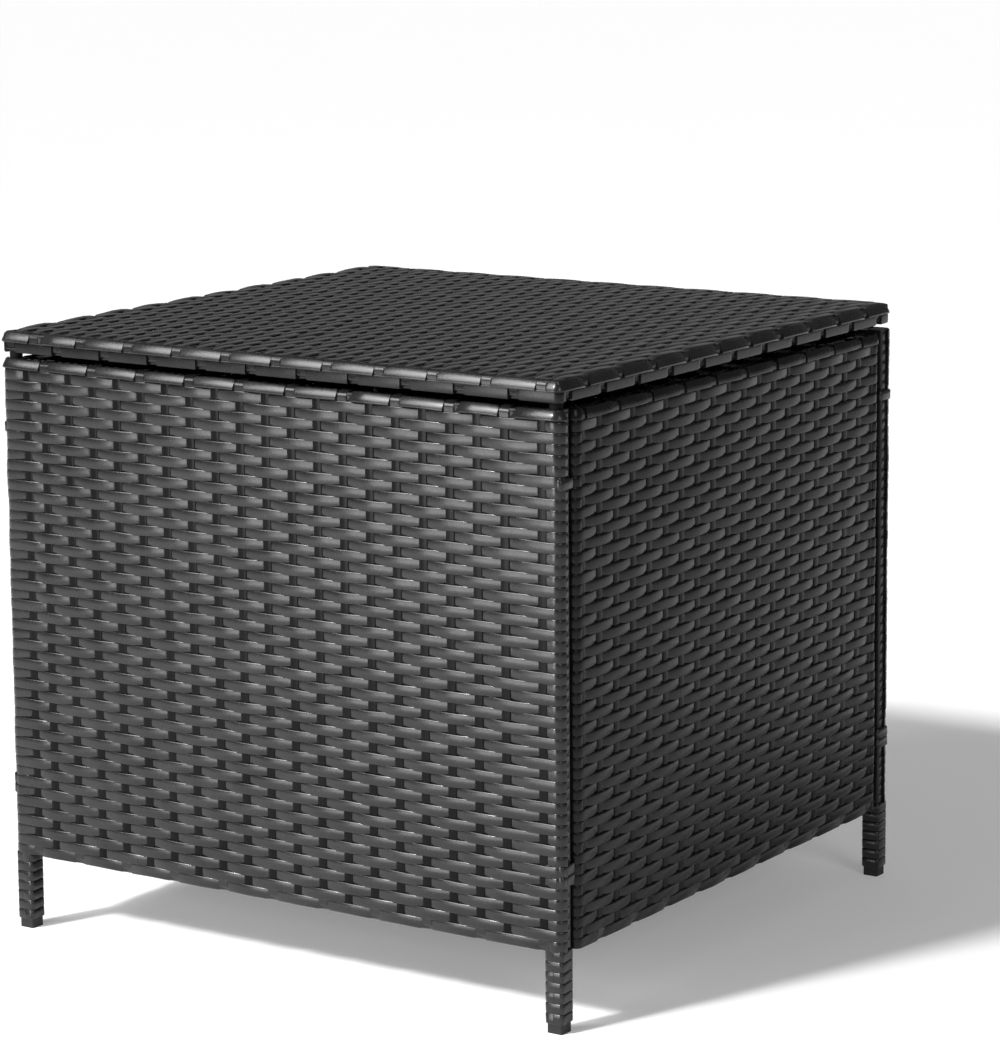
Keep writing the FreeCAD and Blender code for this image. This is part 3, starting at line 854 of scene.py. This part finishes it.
def strand_material(name, drawn, share):
    """Satin plastic strand; `drawn` is small along the axes it follows, and `share` darkens its colour and
    gloss as painted shade.
    """
    colours = bpy.context.scene.table_finish
    material, tree, shader, place = base_material(name)
    drawn_place = add_node(tree, "Mapping", {"Vector": place, "Scale": drawn})["Vector"]
    effect = group_node(tree, "drawn strand", strand_group, {"Place": place, "Drawn Place": drawn_place})
    # Painted shade: the share darkens both tones of strands that lie deep or face away from the lamps
    dark, light = darker(share, colours.strand_dark), darker(share, colours.strand_light)
    set_inputs(tree, shader, {"Base Color": mix_colours(tree, effect["Tone"], dark, light),
                              "Roughness": spread_out(tree, effect["Gloss"], *STRAND_ROUGHNESS),
                              "Normal": bump(tree, effect["Lines"], STRAND_BUMP),
                              "Specular IOR Level": STRAND_SPECULAR * share})
    return material


def strand_finish(name):
    """Finish of strands along an axis or round it; the lid's edge goes round the upright axis."""
    way, axis = name.split("_")[-2:]
    if way == "edge":
        axis = "z"
    drawn = tuple(DRAWN_OUT if (letter == axis) == (way == "along") else 1 for letter in "xyz")
    # Painted shade: the first word of the finish's name picks how much darker the strand is painted
    share = PAINTED_SHADE_SHARES.get(name.split("_")[0], 1.0)
    return bpy.data.materials.get(name) or strand_material(name, drawn, share)


def grained_material(name):
    setting, tint, roughness, metallic, scale, strength, specular = GRAINED[name]
    tone = tuple(getattr(bpy.context.scene.table_finish, setting))
    material, tree, shader, place = base_material(name)
    effect = group_node(tree, "surface grain", grain_group, {"Place": place, "Grain Scale": scale})
    smudge = effect["Smudge"]
    set_inputs(tree, shader, {"Base Color": mix_colours(tree, smudge, darker(tint, tone), tone),
                              "Roughness": spread_out(tree, smudge, *roughness),
                              "Normal": bump(tree, effect["Grain"], strength),
                              "Metallic": metallic, "Specular IOR Level": specular})
    return material


# Operators

# Share of the edge tilt that a panel's top row has
TILTS = {"front": 1.0, "rear": 0.0, "left": 0.5, "right": 0.5}


class TABLE_OT_panel_weaves(bpy.types.Operator):
    """Weave the front, rear, left and right panels."""
    bl_idname = "side_table.panel_weaves"
    bl_label = "Panel weaves"

    def execute(self, context):
        for side, field in upright_fields().items():
            # Painted shade: the left and right panels' wefts take the side finish, painted darker with less
            # gloss than the front's, as those faces turn away from the lamps
            along = "strand_along_x" if side in ("front", "rear") else "side_along_y"
            lean = TILTS[side] * context.scene.table_weave.edge_tilt
            finish_piece(field.wefts(lean), BASE, along, replaced=(side + "_weave",))
            # Painted shade: warps are painted darker, for their place deep between the floats
            finish_piece(field.warp_strands(), BASE, "warp_along_z")
            loops = field.loops(side + "_top_rail", field.rows - 1) + field.loops(side + "_bottom_rail", 0)
            finish_piece(join(side + "_loops", loops), BASE, "turns_round_" + field.axis, sharp=LOOP_ANGLE)
        return {"FINISHED"}


class TABLE_OT_lid_weave(bpy.types.Operator):
    """Weave the top of the lid."""
    bl_idname = "side_table.lid_weave"
    bl_label = "Lid weave"

    def execute(self, context):
        weave_tray("lid", LID)
        return {"FINISHED"}


# Rows on the lid's edge: height above the lid's underside, place of the first gap, share of the edge tilt,
# shape of the gaps, height of the loops and their finish
# Painted shade: the low row's strand and its sunk loops are painted darker, through the first words of their
# finish names
LID_ROWS = {
    "low": (3.4 * MM, 6.7 * MM, 0.0, LEVEL_GAP, 0.6 * MM, "sunk_round_"),
    "top": (10.6 * MM, 30.0 * MM, 1.0, SLOPED_GAP, 1.0 * MM, "turns_round_"),
}
LID_ROW_OUT = 0.2 * MM
# Gaps past one round, so that both ends of a row lie between two gaps
SPARE_GAPS = 3


class TABLE_OT_lid_rows(bpy.types.Operator):
    """Lay the two rows of strand round the lid's edge."""
    bl_idname = "side_table.lid_rows"
    bl_label = "Lid edge rows"

    def execute(self, context):
        sizes = context.scene.table_winding
        weave = context.scene.table_weave
        left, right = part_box("lid_left_rail")[0].x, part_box("lid_right_rail")[1].x
        front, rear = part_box("lid_front_rail")[0].y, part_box("lid_rear_rail")[1].y
        corners = ((right, front), (right, rear), (left, rear), (left, front))
        track = Track("lid_edge_track", corners, sizes.row_corner, True)
        count = round(track.length / sizes.edge_period)
        period = track.length / count
        for name, (height, first_gap, tilt, shape, loop_height, loop_finish) in LID_ROWS.items():
            # The track starts on the front edge, where its left corner ends
            start = first_gap - sizes.row_corner - period
            gaps = [start + number * period for number in range(count + SPARE_GAPS)]
            profile = []
            for gap in gaps:
                found = track.place(gap % track.length)
                profile += gap_at(gap, -1 if found and found[1] == "y" else 1, shape)
            ends = [(place, lift_at(profile, place)) for place in (0.0, track.length)]
            stations = ends[:1] + track.stations(profile) + ends[1:]
            row = strand_along("lid_" + name + "_row", stations, sizes.row_width, weave.weft_thickness)
            row.rotation_euler.x = -tilt * weave.edge_tilt
            row.location = (0, -LID_ROW_OUT, wound_low("lid_left_rail").z + height)
            settle(row)
            track.bend(row)
            # Painted shade: the low row's finish paints it darker than the top row
            finish_piece(row, LID, name + "_edge_strand")
            self.loops(name, track, gaps, loop_height, loop_finish)
        drop(track.piece)
        return {"FINISHED"}

    def loops(self, name, track, gaps, height, finish):
        """Loops round the lid's tubes that show in the gaps of a row."""
        loops = {"x": [], "y": []}
        blank = loop_blank("lid_loop", "lid_front_rail", height)
        for found in (track.place(gap) for gap in gaps):
            if found is None:
                continue
            point, axis = found
            if axis == "x":
                rail = "lid_front_rail" if point.y < 0 else "lid_rear_rail"
            else:
                rail = "lid_left_rail" if point.x < 0 else "lid_right_rail"
            middle = middle_of(rail)
            setattr(middle, axis, getattr(point, axis))
            loops[axis].append(turn_at(blank, axis, middle))
        drop(blank)
        for axis, turns in loops.items():
            piece = join("lid_" + name + "_loops_" + axis, turns)
            finish_piece(piece, LID, finish + axis, sharp=LOOP_ANGLE)


class TABLE_OT_floor_weave(bpy.types.Operator):
    """Weave the floor of the storage box."""
    bl_idname = "side_table.floor_weave"
    bl_label = "Floor weave"

    def execute(self, context):
        weave_tray("floor", BASE)
        return {"FINISHED"}


# Heights of the turns that are pushed out at the bolts, and how far they lean by chance, in degrees
BULGES = (113 * MM, 121 * MM, 400.5 * MM)
BULGE_STRAY = 2
# Lower legs: bare tube above the foot, how far the bare turns reach into the panel, and their lean
FOOT_CLEAR = 3.5 * MM
PANEL_REACH = 1 * MM
LEG_LEAN = math.radians(2.2)
# Strand down a lower leg: lift over and under turns, half its length on a turn, its end in the panel,
# its width as a share of a warp's, and how far it lies inside the leg's middle
STRAND_LIFTS = (1.2 * MM, -0.4 * MM)
STRAND_REST = 3.2 * MM
STRAND_END = (9 * MM, 0.2 * MM)
STRAND_SHARE = 0.9
STRAND_INSIDE = 2.6 * MM


class TABLE_OT_leg_windings(bpy.types.Operator):
    """Wind the legs, and lead a strand down each lower leg over every second turn."""
    bl_idname = "side_table.leg_windings"
    bl_label = "Leg windings"

    def execute(self, context):
        sizes = context.scene.table_winding
        chance = random.Random(context.scene.table_weave.seed)
        low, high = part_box("front_left_leg")
        covered, bare, bulged = (
            turn_blank(name, high.x - low.x, height, sizes.turn_width, sizes.corner) for name, height in
            (("covered_turn", sizes.covered_height), ("leg_turn", sizes.turn_height),
             ("bulged_turn", sizes.bulge_height)))
        panel_low = wound_low("front_bottom_rail").z
        split = panel_low + PANEL_REACH
        turns = []
        strands = []
        for end, way in (("front", 1), ("rear", -1)):
            for side, inner in (("left", 1), ("right", -1)):
                leg = end + "_" + side + "_leg"
                middle = middle_of(leg)
                lower = winding(leg, "z", bare, chance, (low.z + FOOT_CLEAR, split), LEG_LEAN)
                turns += lower + winding(leg, "z", covered, chance, (split, high.z))
                for place in BULGES:
                    turn = turn_at(bulged, "z", (middle.x, middle.y + way * sizes.bulge_shift, place))
                    turn.rotation_euler.x = math.radians(chance.uniform(-BULGE_STRAY, BULGE_STRAY))
                    turns.append(turn)
                strand = self.strand(lower, panel_low)
                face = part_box(leg)[0 if end == "front" else 1].y
                place = Vector((middle.x + inner * STRAND_INSIDE, face, 0))
                strand.matrix_world = axes_matrix(Z, way * Y, -way * X, place)
                strands.append(strand)
        drop(covered, bare, bulged)
        finish_piece(join("leg_windings", turns), BASE, "turns_round_z", replaced=("leg_wraps",))
        finish_piece(join("leg_strands", strands), BASE, "strand_along_z")
        return {"FINISHED"}

    def strand(self, turns, panel_low):
        """Strand that lies over every second turn of a lower leg and ends in the panel."""
        weave = bpy.context.scene.table_weave
        profile = []
        for number, turn in enumerate(turns):
            for along in (-STRAND_REST, STRAND_REST):
                profile.append((turn.location.z + along, STRAND_LIFTS[number % 2]))
        end_place, end_lift = STRAND_END
        profile.append((panel_low + end_place, end_lift))
        return strand_along("leg_strand", profile, STRAND_SHARE * weave.warp_width, weave.warp_thickness)


# Tubes along each axis of the front and rear frames, the side frames, and the lid and floor
FACE_TUBES = {"x": ("top_rail", "bottom_rail")}
SIDE_TUBES = {"z": ("front_stile", "rear_stile"), "y": ("top_rail", "bottom_rail")}
TRAY_TUBES = {"y": ("left_rail", "right_rail"), "x": ("front_rail", "rear_rail")}
WOUND = {
    "front_rail": (BASE, FACE_TUBES),
    "rear_rail": (BASE, FACE_TUBES),
    "left_frame": (BASE, SIDE_TUBES),
    "right_frame": (BASE, SIDE_TUBES),
    "floor_edge": (BASE, TRAY_TUBES),
    "lid_edge": (LID, TRAY_TUBES),
}


class TABLE_OT_frame_windings(bpy.types.Operator):
    """Wind the rails and stiles of the panels, the floor and the lid."""
    bl_idname = "side_table.frame_windings"
    bl_label = "Frame windings"

    def execute(self, context):
        sizes = context.scene.table_winding
        chance = random.Random(context.scene.table_weave.seed + 1)
        low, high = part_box("front_top_rail")
        covered = turn_blank("covered_turn", high.z - low.z, sizes.covered_height, sizes.turn_width,
                             sizes.corner)
        for name, (body, tubes) in WOUND.items():
            place = name.split("_")[0]
            for axis, labels in tubes.items():
                turns = []
                for tube in (place + "_" + label for label in labels):
                    ends = [getattr(corner, axis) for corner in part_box(tube)]
                    turns += winding(tube, axis, covered, chance, ends)
                piece = join(name + "_windings_" + axis, turns)
                # Painted shade: covered turns are painted darker, for the shade in the slits between the
                # strands over them
                finish_piece(piece, body, "covered_round_" + axis, replaced=(name + "_wraps",))
        drop(covered)
        return {"FINISHED"}


class TABLE_OT_frame_finishes(bpy.types.Operator):
    """Give the steel, plastic and rubber pieces their finishes."""
    bl_idname = "side_table.frame_finishes"
    bl_label = "Frame finishes"

    def execute(self, context):
        finishes = {name: grained_material(name) for name in GRAINED}
        for name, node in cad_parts.items():
            found = [finish for finish, endings in FINISHED_NODES.items() if name.endswith(endings)]
            node.data.materials.clear()
            node.data.materials.append(finishes[found[0] if found else "powder_coat"])
        return {"FINISHED"}


WHITE = (1, 1, 1, 1)
FLOOR_ROUGHNESS = 0.9
# Darkest share of the floor's colour
FLOOR_SHADE = 0.985
SUN_DISTANCE = 3
IMAGE_LONG_SIDE = 1043.0
SENSOR_WIDTH = 36.0


def heading(azimuth, elevation):
    """Direction from the table; azimuth counts from the front toward the right."""
    level = math.cos(elevation)
    return Vector((math.sin(azimuth) * level, -math.cos(azimuth) * level, math.sin(elevation)))


class TABLE_OT_stage(bpy.types.Operator):
    """Set the floor, the light and the camera."""
    bl_idname = "side_table.stage"
    bl_label = "Stage"

    def execute(self, context):
        stage = context.scene.table_stage
        context.scene.view_settings.view_transform = "Standard"
        self.floor(stage)
        self.world(context.scene, stage)
        self.lamps(stage)
        self.camera(context.scene, stage)
        return {"FINISHED"}

    def floor(self, stage):
        floor = add_mesh("studio_floor", "plane", size=stage.floor_size)
        material, tree, shader, place = base_material("pale_floor")
        pale = tuple(stage.floor_colour)
        tone = noise(tree, place, *FLOOR_NOISE)
        set_inputs(tree, shader, {"Base Color": mix_colours(tree, tone, darker(FLOOR_SHADE, pale), pale),
                                  "Roughness": FLOOR_ROUGHNESS, "Specular IOR Level": 0.0,
                                  "Emission Color": WHITE,
                                  "Emission Strength": self.seen(tree, stage.floor_glow)})
        floor.data.materials.append(material)

    def seen(self, tree, glow):
        """The glow of the floor as it is seen, straight, in a gloss or through glass; it lights nothing."""
        rays = add_node(tree, "LightPath", {})
        value = self.calculate(tree, "MAXIMUM", rays["Is Camera Ray"], rays["Is Glossy Ray"])
        value = self.calculate(tree, "MAXIMUM", value, rays["Is Transmission Ray"])
        return self.calculate(tree, "MULTIPLY", value, glow)

    def calculate(self, tree, operation, first, second):
        node = tree.nodes.new("ShaderNodeMath")
        node.operation = operation
        return set_inputs(tree, node, {0: first, 1: second})["Value"]

    def world(self, scene, stage):
        world = bpy.data.worlds.new("studio")
        world.use_nodes = True
        scene.world = world
        tree = world.node_tree
        set_inputs(tree, tree.nodes["Background"], {"Color": WHITE, "Strength": stage.ambient})

    def lamp(self, name, kind, place, target):
        lamp = bpy.data.lights.new(name, kind)
        holder = bpy.data.objects.new(name, lamp)
        bpy.context.scene.collection.objects.link(holder)
        holder.location = place
        holder.rotation_euler = (place - target).to_track_quat("Z", "Y").to_euler()
        holder.visible_camera = False
        return lamp

    def lamps(self, stage):
        def values(name, *labels):
            return (getattr(stage, name + "_" + label) for label in labels)

        for name in ("key", "fill"):
            azimuth, elevation, strength, spread = values(name, "azimuth", "elevation", "strength", "spread")
            lamp = self.lamp(name, "SUN", SUN_DISTANCE * heading(azimuth, elevation), Vector())
            lamp.energy = strength
            lamp.angle = spread
        for name in ("soft", "high", "back"):
            place, size, power = values(name, "place", "size", "power")
            target = Vector((0, 0, min(place.z, CAD_BOX[1].z)))
            lamp = self.lamp(name, "AREA", place, target)
            lamp.shape = "RECTANGLE"
            lamp.size, lamp.size_y = size
            lamp.energy = power

    def camera(self, scene, stage):
        data = bpy.data.cameras.new("camera")
        data.sensor_width = SENSOR_WIDTH
        data.lens = stage.focal * SENSOR_WIDTH / IMAGE_LONG_SIDE
        data.shift_y = stage.shift
        camera = bpy.data.objects.new("camera", data)
        scene.collection.objects.link(camera)
        back = heading(stage.azimuth, stage.elevation)
        right = Vector((math.cos(stage.azimuth), math.sin(stage.azimuth), 0))
        up = back.cross(right)
        turned_right = math.cos(stage.roll) * right + math.sin(stage.roll) * up
        turned_up = -math.sin(stage.roll) * right + math.cos(stage.roll) * up
        camera.matrix_world = axes_matrix(turned_right, turned_up, back, Vector(stage.camera_place))
        scene.camera = camera


class TABLE_PT_looks(bpy.types.Panel):
    """Lists the table's operators and their settings."""
    bl_idname = "TABLE_PT_looks"
    bl_label = "Side Table"
    bl_space_type = "VIEW_3D"
    bl_region_type = "UI"
    bl_category = "Side Table"

    def draw(self, context):
        for operator in OPERATORS:
            self.layout.operator(operator.bl_idname)
        for label in SETTINGS:
            group = getattr(context.scene, label)
            box = self.layout.box()
            for prop in group.__annotations__:
                box.prop(group, prop)


SETTINGS = {"table_weave": WeaveSettings, "table_winding": WindingSettings, "table_finish": FinishSettings,
            "table_stage": StageSettings}
OPERATORS = (TABLE_OT_stage, TABLE_OT_frame_finishes, TABLE_OT_panel_weaves, TABLE_OT_lid_weave,
             TABLE_OT_lid_rows, TABLE_OT_floor_weave, TABLE_OT_leg_windings, TABLE_OT_frame_windings)
CLASSES = (*SETTINGS.values(), *OPERATORS, TABLE_PT_looks)


def register():
    for item in CLASSES:
        bpy.utils.register_class(item)
    for label, group in SETTINGS.items():
        setattr(bpy.types.Scene, label, PointerProperty(type=group))


def unregister():
    for label in SETTINGS:
        delattr(bpy.types.Scene, label)
    for item in reversed(CLASSES):
        bpy.utils.unregister_class(item)


def main():
    register()
    bpy.ops.side_table.stage()
    bpy.ops.side_table.frame_finishes()
    bpy.ops.side_table.panel_weaves()
    bpy.ops.side_table.lid_weave()
    bpy.ops.side_table.lid_rows()
    bpy.ops.side_table.floor_weave()
    bpy.ops.side_table.leg_windings()
    bpy.ops.side_table.frame_windings()


if __name__ == "__main__":
    main()
